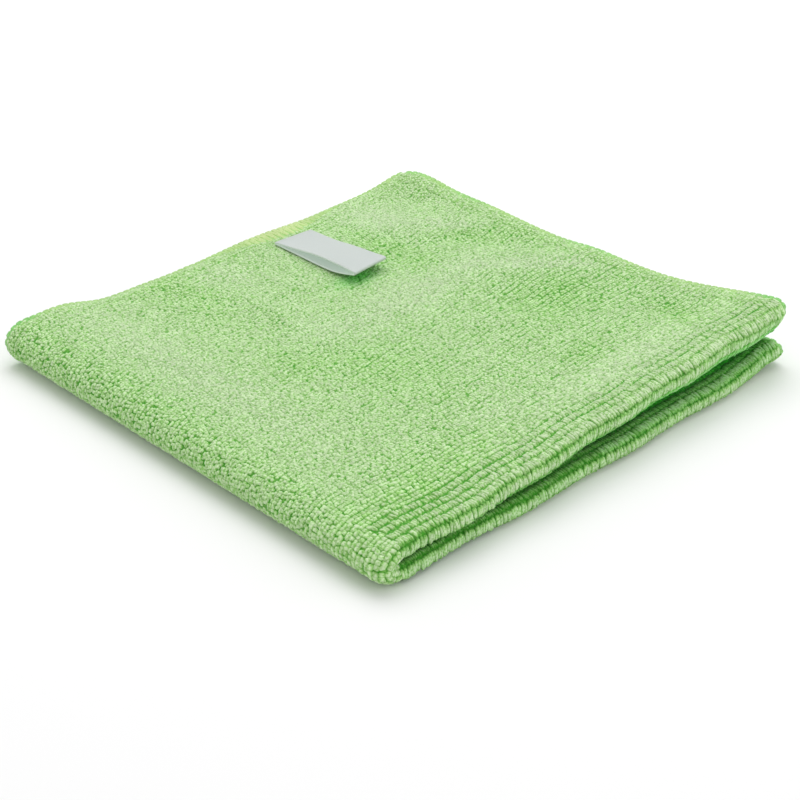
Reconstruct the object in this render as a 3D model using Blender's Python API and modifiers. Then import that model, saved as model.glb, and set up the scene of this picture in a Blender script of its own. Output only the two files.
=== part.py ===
"""A square microfibre terry cloth folded in quarters, with a ribbon label at one free edge.

The cloth is folded twice: first in half about the side x = +100, then in half again about
the side y = -100. So y = -100 is one big fold round all four layers, x = +100 shows two
smaller folds with a mouth between them, and the other two sides are free edges.
Its four layers are named from the top: face, lining, inlay and base.
Run it with: blender --background --python part.py
"""

import math
from collections import namedtuple

import bpy
import numpy as np

# ---- Driving sizes, in millimetres -------------------------------------------------------
MM = 0.001  # scene units are metres
FLAT_SIDE = 400.0  # the cloth before it is folded
FOLDED_SIDE = FLAT_SIDE / 2
MIDDLE = np.array([0.46, -1.10, 0.0])  # middle of the folded cloth's box: the part's origin

TERRY = 3.0  # the cloth with the pile on both its faces
HEM = 2.3  # the same, pressed flat by the overlock at a free edge
HEM_RIM = 1.3  # at the very edge, which the thread rounds
HEM_WIDTH = 7.0  # where the pile is at its full height again
RIM_WIDTH = 1.6
LAYER_GAP = 0.35  # least air between two layers

FREE_X = -98.0  # mean place of the free edges beside the label
FREE_Y = 99.0  # mean place of the free edges at the back
CORNER_ROUND = 9.0  # radius of the cloth's own corners
BIG_FOLD_Y = -101.0  # how far the middle of the outer layer reaches
BIG_FOLD_DEPTH = 9.5  # length of the outer layer's bend
INNER_FOLD_Y = -92.5  # where the inner layers start to bend
CORNER_LIFT = 3.0  # how far the corner of the two small folds stands off the ground
CORNER_LIFT_REACH = 26.0
LIFTED_CORNER = (98.0, 100.0)

RUN_STEPS_X = 15  # steps of the mesh from a free edge to a small fold
RUN_STEPS_Y = 19  # steps from a free edge to the big fold
RUN_CROWDING = 0.11  # how far those steps crowd towards both ends, as a share of the run
SMALL_FOLD_STEPS = 6
BIG_FOLD_STEPS = 8
SHARP_ANGLE = 50.0  # degrees
GROUND_SNAP = 0.06  # what lies nearer to the ground than this is laid flat on it

# Height of the top over the ground. A row is a section at this y, and its columns are the
# free edge, the quarter near it, the middle, the quarter near the folds, and the small folds.
COLUMN_X = (-98.0, -60.0, 0.0, 60.0, 92.0)
Section = namedtuple("Section", "y free near_free middle near_folds folds")
SECTIONS = (
    Section(-92.0, 14.8, 14.0, 14.0, 14.0, 14.1),
    Section(-78.0, 15.2, 14.4, 14.3, 14.4, 14.3),
    Section(-58.0, 10.8, 13.4, 14.5, 15.0, 15.0),
    Section(-38.0, 10.8, 13.2, 14.4, 15.5, 16.4),
    Section(-14.0, 11.6, 13.4, 14.4, 16.2, 18.2),
    Section(14.0, 12.8, 13.8, 14.6, 17.0, 20.0),
    Section(50.0, 13.2, 14.3, 15.2, 17.8, 21.8),
    Section(80.0, 14.6, 15.8, 15.8, 18.6, 23.8),
    Section(98.0, 18.4, 17.6, 16.6, 19.6, 25.8),
)

# How the air between the layers is shared out over most of the cloth: the part inside the
# upper fold and the part in the mouth. The lower fold has the rest.
IN_UPPER = 0.34
IN_MOUTH = 0.36
SHARE_WANDER_X = 0.10  # how far the shares wander along x
SHARE_WANDER_Y = 0.08
SHARE_WAVE_X = 132.0  # length of one such wander
SHARE_WAVE_Y = 107.0

# The same shares at the small folds. reach is how far each fold stands out in x, and lean how
# far the upper fold's foot is set back.
FOLD_ZONE_START = 30.0  # x where the shares begin to go over to these
FOLD_ZONE_END = 90.0
Mouth = namedtuple("Mouth", "y in_upper in_mouth upper_reach lower_reach lean")
MOUTH = (
    Mouth(-92.0, 0.14, 0.80, 99.5, 99.0, 0.0),
    Mouth(-60.0, 0.30, 0.64, 100.0, 99.5, 0.0),
    Mouth(-30.0, 0.28, 0.66, 100.0, 100.0, 0.5),
    Mouth(5.0, 0.28, 0.64, 99.5, 100.0, 1.0),
    Mouth(45.0, 0.38, 0.54, 99.0, 99.5, 1.5),
    Mouth(75.0, 0.46, 0.42, 99.2, 99.0, 2.5),
    Mouth(98.0, 0.54, 0.26, 99.6, 98.5, 3.5),
)

# Soft ridges and hollows of the top: centre, direction, half length, half width, rise.
Form = namedtuple("Form", "x y degrees length width rise")
FORMS = (
    Form(-26.0, 78.0, 40.0, 28.0, 8.0, -1.3),
    Form(-44.0, 50.0, 95.0, 16.0, 8.0, -1.1),
    Form(-60.0, 65.0, 60.0, 20.0, 7.0, 1.0),
    Form(-20.0, 20.0, 100.0, 22.0, 9.0, 0.9),
    Form(0.0, 76.0, 65.0, 24.0, 8.0, 1.0),
    Form(20.0, 51.0, 42.0, 34.0, 12.0, -1.1),
    Form(-55.0, -34.0, 0.0, 26.0, 7.0, -0.7),
    Form(64.0, 74.0, 45.0, 14.0, 8.0, -0.9),
    Form(-76.0, 83.0, 30.0, 14.0, 8.0, -1.2),
    Form(50.0, 15.0, 45.0, 15.0, 9.0, -0.6),
    Form(-82.0, 98.0, 0.0, 13.0, 12.0, 2.2),
)

# Where the free edges of each layer lie, against the mean, and how they wander.
Edge = namedtuple("Edge", "layer out_x out_y wander phase")
EDGES = (
    Edge("face", 0.8, 0.0, 0.6, 0.4),
    Edge("lining", -1.6, -1.2, 0.7, 2.1),
    Edge("inlay", -1.2, -2.2, 0.6, 3.9),
    Edge("base", -3.2, 0.6, 0.6, 5.2),
)
EDGE_WAVE = 62.0  # length of one wander along an edge
LIP_RIPPLE = 0.5  # how far the small folds wander in and out
UPPER_LIP_WAVE = 37.0  # length of one such wander
LOWER_LIP_WAVE = 51.0

# The label: a ribbon from the hem to its fold and back.
RIBBON = 0.45
LABEL_WIDTH = 18.2
LABEL_ROOT = (-85.6, 24.8)  # middle of the sewn end
LABEL_TURN = -3.0  # degrees from +X
LABEL_SKEW = 3.2  # how much shorter the long edge away from the big fold is
LABEL_STEPS_ACROSS = 6
LABEL_STEPS_ALONG = 11
LABEL_TILT = 0.6  # how far the near long edge of the upper leaf lies higher than the far one
# Heights of the two leaves over the ribbon's seat, along the label.
Leaf = namedtuple("Leaf", "along lower upper")
LABEL = (
    Leaf(0.0, 0.0, 0.75),
    Leaf(7.0, 0.0, 1.7),
    Leaf(16.0, 0.1, 2.9),
    Leaf(27.0, 0.5, 4.0),
    Leaf(38.0, 1.4, 4.7),
    Leaf(45.0, 2.5, 4.7),
    Leaf(49.0, 3.3, 4.3),
)
LABEL_SEAT = 0.35  # air between the ribbon and the cloth below it

CLOTH_COLOUR = (0.36, 0.60, 0.24, 1.0)
LABEL_COLOUR = (0.80, 0.82, 0.82, 1.0)


# ---- Curves and blends -------------------------------------------------------------------
def through(at, stations, values):
    """A smooth curve through the values at the stations, read at each place in at."""
    stations = np.asarray(stations, float)
    values = np.asarray(values, float)
    slopes = np.gradient(values, stations, axis=0)
    here = np.clip(np.searchsorted(stations, at) - 1, 0, len(stations) - 2)
    span = stations[here + 1] - stations[here]
    f = np.clip((at - stations[here]) / span, 0, 1)
    if values.ndim == 2:  # one curve for each place
        own = np.arange(len(at))
        v0, v1 = values[here, own], values[here + 1, own]
        m0, m1 = slopes[here, own], slopes[here + 1, own]
    else:
        v0, v1, m0, m1 = values[here], values[here + 1], slopes[here], slopes[here + 1]
    ease = f * f * (3 - 2 * f)
    bend = f * (1 - f) * span
    return v0 + (v1 - v0) * ease + bend * ((1 - f) * m0 - f * m1)


def eased(value, low, high):
    """0 below low and 1 above high, with a soft step between them."""
    f = np.clip((value - low) / (high - low), 0, 1)
    return f * f * (3 - 2 * f)


def column(rows, name):
    return np.array([getattr(row, name) for row in rows])


def of_mouth(name, y):
    return through(y, column(MOUTH, "y"), column(MOUTH, name))


# ---- The stack of four layers over a point of the ground ---------------------------------
def top_height(x, y):
    names = Section._fields[1:]
    stations = column(SECTIONS, "y")
    columns = np.array([through(y, stations, column(SECTIONS, n)) for n in names])
    height = through(x, COLUMN_X, columns)
    for form in FORMS:
        turn = math.radians(form.degrees)
        dx, dy = x - form.x, y - form.y
        along = dx * math.cos(turn) + dy * math.sin(turn)
        across = dy * math.cos(turn) - dx * math.sin(turn)
        reach = (along / form.length) ** 2 + (across / form.width) ** 2
        height = height + form.rise * np.exp(-reach)
    return height


def ground_lift(x, y):
    away = np.hypot(x - LIFTED_CORNER[0], y - LIFTED_CORNER[1])
    return CORNER_LIFT * (1 - eased(away, 0, CORNER_LIFT_REACH))


def thickness(x, y):
    """Of the cloth, which is thinner towards its overlocked edges."""
    inside = np.minimum(x - FREE_X, FREE_Y - y)
    hem = HEM_RIM + (HEM - HEM_RIM) * eased(inside, -1.0, RIM_WIDTH)
    return hem + (TERRY - HEM) * eased(inside, RIM_WIDTH, HEM_WIDTH)


def stack(x, y):
    """Heights of the middle of the face, lining, inlay and base layers."""
    x, y = np.broadcast_arrays(np.asarray(x, float), np.asarray(y, float))
    shape = x.shape
    x, y = x.ravel(), y.ravel()
    thick, lift = thickness(x, y), ground_lift(x, y)
    air = np.maximum(top_height(x, y) - lift - 4 * thick - 3 * LAYER_GAP, 0)
    at_folds = eased(x, FOLD_ZONE_START, FOLD_ZONE_END)
    wander = SHARE_WANDER_X * np.sin(2 * math.pi * x / SHARE_WAVE_X)
    wander = wander + SHARE_WANDER_Y * np.sin(2 * math.pi * y / SHARE_WAVE_Y)
    in_upper, in_mouth = IN_UPPER + wander, IN_MOUTH - wander
    in_upper = in_upper + at_folds * (of_mouth("in_upper", y) - in_upper)
    in_mouth = in_mouth + at_folds * (of_mouth("in_mouth", y) - in_mouth)
    step = thick + LAYER_GAP
    base = lift + thick / 2
    inlay = base + step + air * (1 - in_upper - in_mouth)
    lining = inlay + step + air * in_mouth
    face = lining + step + air * in_upper
    heights = {"face": face, "lining": lining, "inlay": inlay, "base": base}
    return {name: z.reshape(shape) for name, z in heights.items()}


# ---- The folded sheet --------------------------------------------------------------------
def free_edge(layer, along, side):
    """How far the layer's free edge lies from its mean place, at a point along that edge."""
    edge = next(e for e in EDGES if e.layer == layer)
    out = edge.out_x if side == "x" else edge.out_y
    return out + edge.wander * np.sin(2 * math.pi * along / EDGE_WAVE + edge.phase)


def run_stations(steps, hem_side):
    """From 0 at a free edge to 1 at a fold, close together near both."""
    even = np.linspace(0, 1, steps + 1)
    crowded = even - RUN_CROWDING * np.sin(2 * math.pi * even)
    crowded[1] = hem_side
    return crowded


def sheet_rows():
    """The stations down the cloth: (layer pair, share of the run or angle of the bend)."""
    run = run_stations(RUN_STEPS_Y, RIM_WIDTH / FOLDED_SIDE)
    bend = np.linspace(90, -90, BIG_FOLD_STEPS + 1)[1:-1]
    rows = [("upper", f) for f in run]
    rows += [("bend", math.radians(a)) for a in bend]
    rows += [("lower", f) for f in run[::-1]]
    return rows


def outer_and_inner(row, x_outer, x_inner):
    """Points of the outer and the inner layer at this station, at the given x."""
    kind, value = row
    points = []
    for layers, x in ((("face", "base"), x_outer), (("lining", "inlay"), x_inner)):
        outer = layers[0] == "face"
        bend_y = BIG_FOLD_Y + BIG_FOLD_DEPTH if outer else INNER_FOLD_Y
        if kind == "bend":
            ends = stack(x, bend_y)
            over, under = ends[layers[0]], ends[layers[1]]
            radius = (over - under) / 2
            depth = BIG_FOLD_DEPTH if outer else radius
            y = bend_y - depth * math.cos(value)
            z = (over + under) / 2 + radius * math.sin(value)
        else:
            layer = layers[0] if kind == "upper" else layers[1]
            back = FREE_Y + free_edge(layer, x, "y")
            y = back + (bend_y - back) * value
            z = stack(x, y)[layer]
        points.append(np.stack(np.broadcast_arrays(x, y, z), axis=-1).astype(float))
    return points


def fold_reach(row, y):
    """How far the small folds stand out at this station."""
    kind, value = row
    y = np.atleast_1d(np.asarray(y, float))
    upper, lower = of_mouth("upper_reach", y)[0], of_mouth("lower_reach", y)[0]
    upper += LIP_RIPPLE * math.sin(2 * math.pi * y[0] / UPPER_LIP_WAVE)
    lower += LIP_RIPPLE * math.sin(2 * math.pi * y[0] / LOWER_LIP_WAVE)
    if kind == "upper":
        return upper
    if kind == "lower":
        return lower
    return (upper + lower) / 2 + (upper - lower) / 2 * math.sin(value)


def sheet_line(row):
    """One line of the cloth's middle surface, from free edge to free edge across a small fold."""
    kind, value = row
    near = COLUMN_X[-1]
    outer, inner = outer_and_inner(row, np.array([near]), np.array([near]))
    radius = np.linalg.norm(outer[0] - inner[0]) / 2
    start = fold_reach(row, outer[0][1]) - TERRY / 2 - radius
    run = run_stations(RUN_STEPS_X, RIM_WIDTH / FOLDED_SIDE)
    names = {"upper": ("face", "lining"), "lower": ("base", "inlay"), "bend": ("face", "lining")}
    share = 0.5 - 0.5 * math.sin(value) if kind == "bend" else 0.0
    sides = []
    for index, name in enumerate(names[kind]):
        y = (outer, inner)[index][0][1]
        edge = FREE_X - free_edge(name, y, "x")
        if kind == "bend":  # the edge goes from the upper layer's place to the lower one's
            below = names["lower"][index]
            edge += share * (free_edge(name, y, "x") - free_edge(below, y, "x"))
        x = edge + (start - edge) * run
        sides.append(outer_and_inner(row, x, x)[index])
    face, lining = sides
    middle, arm = (face[-1] + lining[-1]) / 2, (face[-1] - lining[-1]) / 2
    lean = of_mouth("lean", np.array([face[-1][1]]))[0] if kind == "upper" else 0.0
    bend = []
    for angle in np.linspace(0, math.pi, SMALL_FOLD_STEPS + 1)[1:-1]:
        out = np.linalg.norm(arm) * math.sin(angle)
        set_back = lean * math.sin(angle) * (1 - math.cos(angle)) / 2
        bend.append(middle + arm * math.cos(angle) + np.array([out - set_back, 0, 0]))
    return np.concatenate([face, bend, lining[::-1]])


def rounded_corner(grid):
    """Rounds the cloth's four corners in plan, where two free edges meet."""
    grid = grid.copy()
    for row_end in (0, -1):
        for column_end in (0, -1):
            corner = grid[row_end, column_end]
            centre = corner[:2] + np.array([CORNER_ROUND, -CORNER_ROUND])
            away = (grid[..., :2] - centre) * np.array([-1, 1])
            near = (away > 0).all(axis=-1) & same_layer(grid, row_end, column_end)
            size = np.maximum(np.linalg.norm(away, axis=-1), 1e-9)
            shrink = np.where(near, away.max(axis=-1) / size, 1.0)
            grid[..., :2] = centre + (grid[..., :2] - centre) * shrink[..., None]
    return grid


def same_layer(grid, row_end, column_end):
    """The points of the mesh in the quarter of the cloth that holds this corner."""
    rows, columns = grid.shape[:2]
    row, col = np.indices((rows, columns))
    row_side = row < rows / 2 if row_end == 0 else row >= rows / 2
    column_side = col < columns / 2 if column_end == 0 else col >= columns / 2
    return row_side & column_side


# ---- Blender objects ---------------------------------------------------------------------
def material(name, colour, roughness):
    made = bpy.data.materials.new(name)
    made.use_nodes = True
    shader = made.node_tree.nodes["Principled BSDF"]
    shader.inputs["Base Color"].default_value = colour
    shader.inputs["Roughness"].default_value = roughness
    shader.inputs["Metallic"].default_value = 0.0
    return made


def grid_object(name, grid, collection, finish):
    """An open surface with a vertex at each point of the grid, in millimetres."""
    rows, columns = grid.shape[:2]
    index = np.arange(rows * columns).reshape(rows, columns)
    corners = (index[:-1, :-1], index[1:, :-1], index[1:, 1:], index[:-1, 1:])
    faces = np.stack([c.ravel() for c in corners], axis=1)
    mesh = bpy.data.meshes.new(name)
    points = (grid.reshape(-1, 3) - MIDDLE) * MM
    mesh.from_pydata(points.tolist(), [], faces.tolist())
    mesh.materials.append(finish)
    obj = bpy.data.objects.new(name, mesh)
    collection.objects.link(obj)
    return obj


def thicken(obj, full, each=None):
    """Gives the surface its thickness, evenly to both sides, or each point its own."""
    shell = obj.modifiers.new("thickness", "SOLIDIFY")
    shell.thickness = full * MM
    shell.offset = 0.0
    if each is not None:
        group = obj.vertex_groups.new(name="thickness")
        for vertex, size in enumerate(each.ravel()):
            group.add([vertex], float(size / full), "REPLACE")
        shell.vertex_group = group.name


def settle(obj):
    """Makes the modifiers final, and lays what is within a hair of the ground flat on it."""
    graph = bpy.context.evaluated_depsgraph_get()
    mesh = bpy.data.meshes.new_from_object(obj.evaluated_get(graph))
    obj.modifiers.clear()
    obj.vertex_groups.clear()
    obj.data = mesh
    for vertex in mesh.vertices:
        if vertex.co.z < GROUND_SNAP * MM:
            vertex.co.z = 0.0
    mesh.shade_smooth()
    mesh.set_sharp_from_angle(angle=math.radians(SHARP_ANGLE))


def build_cloth(collection):
    grid = rounded_corner(np.array([sheet_line(row) for row in sheet_rows()]))
    finish = material("terry", CLOTH_COLOUR, 0.95)
    cloth = grid_object("cloth", grid, collection, finish)
    thicken(cloth, TERRY, thickness(grid[..., 0], grid[..., 1]))
    settle(cloth)


def label_seat(x, y):
    """Height of the cloth's top under the label."""
    return stack(x, y)["face"] + thickness(x, y) / 2


def build_label(collection):
    stations = column(LABEL, "along")
    along = np.linspace(0, stations[-1], LABEL_STEPS_ALONG + 1)
    lower = through(along, stations, column(LABEL, "lower"))
    upper = through(along, stations, column(LABEL, "upper"))
    turn = math.radians(LABEL_TURN)
    ahead = np.array([math.cos(turn), math.sin(turn)])
    aside = np.array([-math.sin(turn), math.cos(turn)])
    tip = stations[-1] + (upper[-1] - lower[-1]) / 2
    path = [(a, h, 0.0) for a, h in zip(along, lower)]
    path.append((tip, (lower[-1] + upper[-1]) / 2, 0.5))
    path += [(a, h, 1.0) for a, h in zip(along[::-1], upper[::-1])]
    lines = []
    for far, height, on_upper in path:
        line = []
        for across in np.linspace(-0.5, 0.5, LABEL_STEPS_ACROSS + 1):
            skew = 1 - LABEL_SKEW * (across + 0.5) / stations[-1]
            x, y = LABEL_ROOT + ahead * far * skew + aside * across * LABEL_WIDTH
            seat = label_seat(np.array([x]), np.array([y]))[0] + LABEL_SEAT + RIBBON / 2
            swell = math.sin(math.pi * min(far / stations[-1], 1.0))
            tilt = LABEL_TILT * (0.5 - across) * swell * on_upper
            line.append((x, y, seat + height + tilt))
        lines.append(line)
    finish = material("ribbon", LABEL_COLOUR, 0.45)
    label = grid_object("label", np.array(lines), collection, finish)
    thicken(label, RIBBON)
    settle(label)


def main():
    for obj in list(bpy.data.objects):
        bpy.data.objects.remove(obj, do_unlink=True)
    folded_cloth = bpy.data.collections.new("microfibre_cloth")
    bpy.context.scene.collection.children.link(folded_cloth)
    build_cloth(folded_cloth)
    build_label(folded_cloth)


main()
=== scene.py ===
"""The looks of a microfibre terry cloth that is folded in quarters, with a blank ribbon label.

The cloth is a thin knitted ground in its folded shape, with a pile of small loops in rows on
both of its faces, an overlocked hem at every free edge, and a satin ribbon at one of them.
All sizes are in millimetres, on the side of the cloth's own middle, and go over to metres
where a mesh is made.
"""

import math
from collections import namedtuple

import bpy
import numpy as np
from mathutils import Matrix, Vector


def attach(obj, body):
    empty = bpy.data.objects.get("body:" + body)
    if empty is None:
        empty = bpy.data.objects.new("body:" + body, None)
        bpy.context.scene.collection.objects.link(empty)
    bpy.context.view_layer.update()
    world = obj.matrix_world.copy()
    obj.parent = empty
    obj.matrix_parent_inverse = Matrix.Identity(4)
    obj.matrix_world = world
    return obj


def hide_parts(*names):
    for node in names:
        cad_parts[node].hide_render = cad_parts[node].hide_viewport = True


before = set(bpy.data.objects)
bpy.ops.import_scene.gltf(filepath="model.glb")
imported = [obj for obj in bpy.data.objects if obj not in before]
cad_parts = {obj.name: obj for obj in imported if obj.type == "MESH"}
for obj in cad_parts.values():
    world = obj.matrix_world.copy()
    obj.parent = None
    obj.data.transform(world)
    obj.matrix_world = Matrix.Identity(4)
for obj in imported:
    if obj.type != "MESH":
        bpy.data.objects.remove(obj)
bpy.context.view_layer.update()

# ---- Sizes of the folded cloth, as its solids have them ----
MM = 0.001  # scene units are metres
FLAT_SIDE = 400.0  # the cloth before it is folded
FOLDED_SIDE = FLAT_SIDE / 2
MIDDLE = np.array([0.46, -1.10, 0.0])  # middle of the folded cloth's box: the part's origin

TERRY = 3.0  # the cloth with the pile on both its faces
HEM = 2.3  # the same, pressed flat by the overlock at a free edge
HEM_RIM = 1.3  # at the very edge, which the thread rounds
HEM_WIDTH = 7.0  # where the pile is at its full height again
RIM_WIDTH = 1.6
LAYER_GAP = 0.35  # least air between two layers

FREE_X = -98.0  # mean place of the free edges beside the label
FREE_Y = 99.0  # mean place of the free edges at the back
CORNER_ROUND = 9.0  # radius of the cloth's own corners
BIG_FOLD_Y = -101.0  # how far the middle of the outer layer reaches
BIG_FOLD_DEPTH = 9.5  # length of the outer layer's bend
INNER_FOLD_Y = -92.5  # where the inner layers start to bend
CORNER_LIFT = 3.0  # how far the corner of the two small folds stands off the ground
CORNER_LIFT_REACH = 26.0
LIFTED_CORNER = (98.0, 100.0)

# Height of the top over the ground. A row is a section at this y, and its columns are the
# free edge, the quarter near it, the middle, the quarter near the folds, and the small folds.
COLUMN_X = (-98.0, -60.0, 0.0, 60.0, 92.0)
Section = namedtuple("Section", "y free near_free middle near_folds folds")
SECTIONS = (
    Section(-92, 14.8, 14, 14, 14, 14.1),
    Section(-78, 15.2, 14.4, 14.3, 14.4, 14.3),
    Section(-58, 10.8, 13.4, 14.5, 15, 15),
    Section(-38, 10.8, 13.2, 14.4, 15.5, 16.4),
    Section(-14, 11.6, 13.4, 14.4, 16.2, 18.2),
    Section(14, 12.8, 13.8, 14.6, 17, 20),
    Section(50, 13.2, 14.3, 15.2, 17.8, 21.8),
    Section(80, 14.6, 15.8, 15.8, 18.6, 23.8),
    Section(98, 18.4, 17.6, 16.6, 19.6, 25.8),
)

# How the air between the layers is shared out over most of the cloth: the part inside the
# upper fold and the part in the mouth. The lower fold has the rest.
IN_UPPER = 0.34
IN_MOUTH = 0.36
SHARE_WANDER_X = 0.10  # how far the shares wander along x
SHARE_WANDER_Y = 0.08
SHARE_WAVE_X = 132.0  # length of one such wander
SHARE_WAVE_Y = 107.0

# The same shares at the small folds. reach is how far each fold stands out in x, and lean how
# far the upper fold's foot is set back.
FOLD_ZONE = (30.0, 90.0)  # x where the shares go over to these
Mouth = namedtuple("Mouth", "y in_upper in_mouth upper_reach lower_reach lean")
MOUTH = (
    Mouth(-92, 0.14, 0.80, 99.5, 99, 0),
    Mouth(-60, 0.30, 0.64, 100, 99.5, 0),
    Mouth(-30, 0.28, 0.66, 100, 100, 0.5),
    Mouth(5, 0.28, 0.64, 99.5, 100, 1),
    Mouth(45, 0.38, 0.54, 99, 99.5, 1.5),
    Mouth(75, 0.46, 0.42, 99.2, 99, 2.5),
    Mouth(98, 0.54, 0.26, 99.6, 98.5, 3.5),
)

# Soft ridges and hollows of the top: centre, direction, half length, half width, rise. The
# last few are narrow creases, which only the looks have.
Form = namedtuple("Form", "x y degrees length width rise")
FORMS = (
    Form(-26, 78, 40, 28, 8, -1.3),
    Form(-44, 50, 95, 16, 8, -1.1),
    Form(-60, 65, 60, 20, 7, 1),
    Form(-20, 20, 100, 22, 9, 0.9),
    Form(0, 76, 65, 24, 8, 1),
    Form(20, 51, 42, 34, 12, -1.1),
    Form(-55, -34, 0, 26, 7, -0.7),
    Form(64, 74, 45, 14, 8, -0.9),
    Form(-76, 83, 30, 14, 8, -1.2),
    Form(50, 15, 45, 15, 9, -0.6),
    Form(-82, 98, 0, 13, 12, 2.2),
    Form(-56, -22, -2, 34, 3, 0.7),
    Form(-4, -32, 75, 22, 4, -0.5),
)

# Where the free edges of each layer lie, against the mean, and how they wander.
Edge = namedtuple("Edge", "layer out_x out_y wander phase")
EDGES = (
    Edge("face", 0.8, 0, 0.6, 0.4),
    Edge("lining", -1.6, -1.2, 0.7, 2.1),
    Edge("inlay", -1.2, -2.2, 0.6, 3.9),
    Edge("base", -3.2, 0.6, 0.6, 5.2),
)
EDGE_WAVE = 62.0  # length of one wander along an edge
LIP_RIPPLE = 0.5  # how far the small folds wander in and out
UPPER_LIP_WAVE = 37.0  # length of one such wander
LOWER_LIP_WAVE = 51.0

# The label: a ribbon from the hem to its fold and back.
RIBBON = 0.45
LABEL_WIDTH = 18.2
LABEL_ROOT = (-85.6, 24.8)  # middle of the sewn end
LABEL_TURN = -3.0  # degrees from +X
LABEL_SKEW = 3.2  # how much shorter the long edge away from the big fold is
LABEL_TILT = 1.8  # how far the near long edge of the upper leaf lies higher than the far one
Leaf = namedtuple("Leaf", "along lower upper")
LABEL = (
    Leaf(0, 0, 0.5),
    Leaf(7, 0, 0.6),
    Leaf(16, 0, 0.95),
    Leaf(27, 0, 2.1),
    Leaf(38, 0.7, 3.2),
    Leaf(45, 2.2, 3.95),
    Leaf(49, 3.3, 4.3),
)
LABEL_SEAT = 0.15  # air between the ribbon and the cloth below it

# ---- Sizes of what only the looks have ----
GRID_STEPS_X = 62  # steps of the fine grid from a free edge to a small fold
GRID_STEPS_Y = 84  # steps from a free edge to the big fold
GRID_FOLD_STEPS = 12
GRID_BIG_FOLD_STEPS = 18
RUN_CROWDING = 0.08  # how far those steps crowd towards both ends, as a share of the run
EDGE_DRAW = 0.8  # how far the overlock draws the edge in from its mean place

KNIT = 0.9  # thickness of the knitted ground between the loops
HEM_SKIN = 0.25  # how deep the ground lies under the hem's surface, where the thread is
BARE_HEM = 6.4  # how far inside the edge the ground under the pile starts to thin
LABEL_HEM = 3.7  # how much further in that is beside the label, where the overlock is bare
PILE_FULL = 3.1  # how much further in again it is at its thinnest
FILL = 0.4  # how far the pile's feet fill the gaps between loops where it lies flat
RIB_FILL = 0.35  # the same over the small folds
RIB_FILL_REACH = (4.0, 14.0)  # how far in from them the one goes over to the other

# The rows of loops. Near the small folds a row is a line of ribs, or beads round the big fold;
# then all loops are alike; and over the rest they are plain, or fine on the face that shows.
ROW_PITCH = 2.15  # from one row of the knit to the next where the cloth lies flat
BEAD_GAP = 0.87  # between the two fine rows in such a row
FOLD_ROW_PITCH = 3.5  # the same as ROW_PITCH at the small folds, where the rows are spread open
RIB_END = 15.8  # how far from the middle of a small fold a row is one line of ribs
RIB_FOOT_Y = -93.0  # where such a line ends, at the big fold
PAIR_GAP = 1.65  # between the two rows of beads that come from one of them
PAIR_END = 30.0  # how far the rows go in pairs
PITCHES = {"ribs": 0.95, "beads": 1.5, "all": 1.5, "plain": 1.2, "fine": 1.2}  # of the loops
ROW_SKEW = 0.13  # how far the rows run askew, over most of the cloth
SKEW_HEIGHT = -25.0  # y where the skewed rows cross the straight ones
STRAIGHTENED = (-10.0, 80.0)  # x where they turn till they run along the small folds
Wander = namedtuple("Wander", "far length")
ROW_WANDER = Wander(0.12, 6.0)  # how far each row wanders by itself, and within what length
FIELD_WANDER = Wander(0.6, 40.0)  # how all the rows wander together
WANDER_SPREAD = 0.8
PILE_START = 1.8  # inside the edge, where the first loops stand over the overlock
LOOP_JITTER = 0.3  # how far a loop stands from its even place in the row, at most
MISSED = 0.08  # share of the fine rows' loops that are missing where the pile is crisp
MOUTH_DEPTH = 24.0  # how far in from the small folds the mouth has its loops
EDGE_DEPTH = 13.0  # how far in from a free edge the hidden faces have theirs
TOP_PART = 33.0  # x to which the middle one of the top's three pieces reaches

# One loop. Two numbers are the least and the most that it has.
YARN = 0.55  # half the height of its yarn
YARN_ROUND = (-20.0, 200.0)  # degrees of the yarn's round that are made
FOOT_DEPTH = 0.25  # how deep its feet are in the knit
LEAST_TALL = 0.75  # least height of the pile
LEAST_RISE = 0.15  # least height of the middle of a loop's yarn
TALL = 0.95  # how tall loops are, as a share of the pile's height
TALL_SPREAD = (-0.19, 0.17)
FELTED_CALM = 0.6  # how much of that spread felted loops lack
SPAN = (0.52, 0.62)  # half of what a loop spans, as a share of its row's width
CRISP_SPAN = 0.84  # share of that which crisp loops span
FELTED_SPAN = 0.28  # how much more felted ones span
RIB_SHORTER = 0.02
FINE_SHORTER = 0.05
WIDE = (0.54, 0.7)  # half the width of its yarn, as a share of the loops' pitch
CRISP_WIDE = 1.1
FELTED_WIDE = 0.12
RIB_NARROWER = 0.06
FOOT_WIDE = 0.75  # width of the yarn at a loop's foot, as a share of that at its crown
HIGH = (0.85, 1.15)
FOOT_HIGH = 0.6
ASLANT = 0.5  # how far its feet are set along the row, as a share of its span
LEAN = 0.3  # how far its crown leans along the row
SIDE_LEAN = 0.13  # how far it leans across the row
FELTED_SHIFT = 0.5  # how far a felted loop is pushed across the row
RIB_SHIFT = 0.32
RIB_ORDER = 0.5  # how much of its aslant and leaning a rib lacks
CROWN = 0.6  # how round its crown is: the less, the flatter
RIB_CROWN = 0.15
FACING_OUT = 0.8  # how much its yarn faces out of the arch at its feet
FACING_UP = 0.35  # and how much up

# How pale the loops and the ground between them are: rise is 0 at a root and 1 at a tip.
# This paleness is painted: shade low between the loops and light at their tips.
FELTED_PALE = 0.8
FINE_PALE = 0.05
GROUND_PALE = 0.48
CRISP_GROUND_SHADE = 0.4
RIBS_REACH = 16.0  # how far in from the small folds the ground's painted shade is as dark as it gets
HEM_PALE = 0.6
CRISP_TONE = 1.1  # how much more light crisp loops have, so that large areas stay even
EVEN_CRISP = 0.55  # how crisp the loops are that have neither more nor less
RIB_TONE = 0.6  # how much less the ribs on top have
TOP_FACING = (0.75, 0.95)  # height of the normal of those

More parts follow.
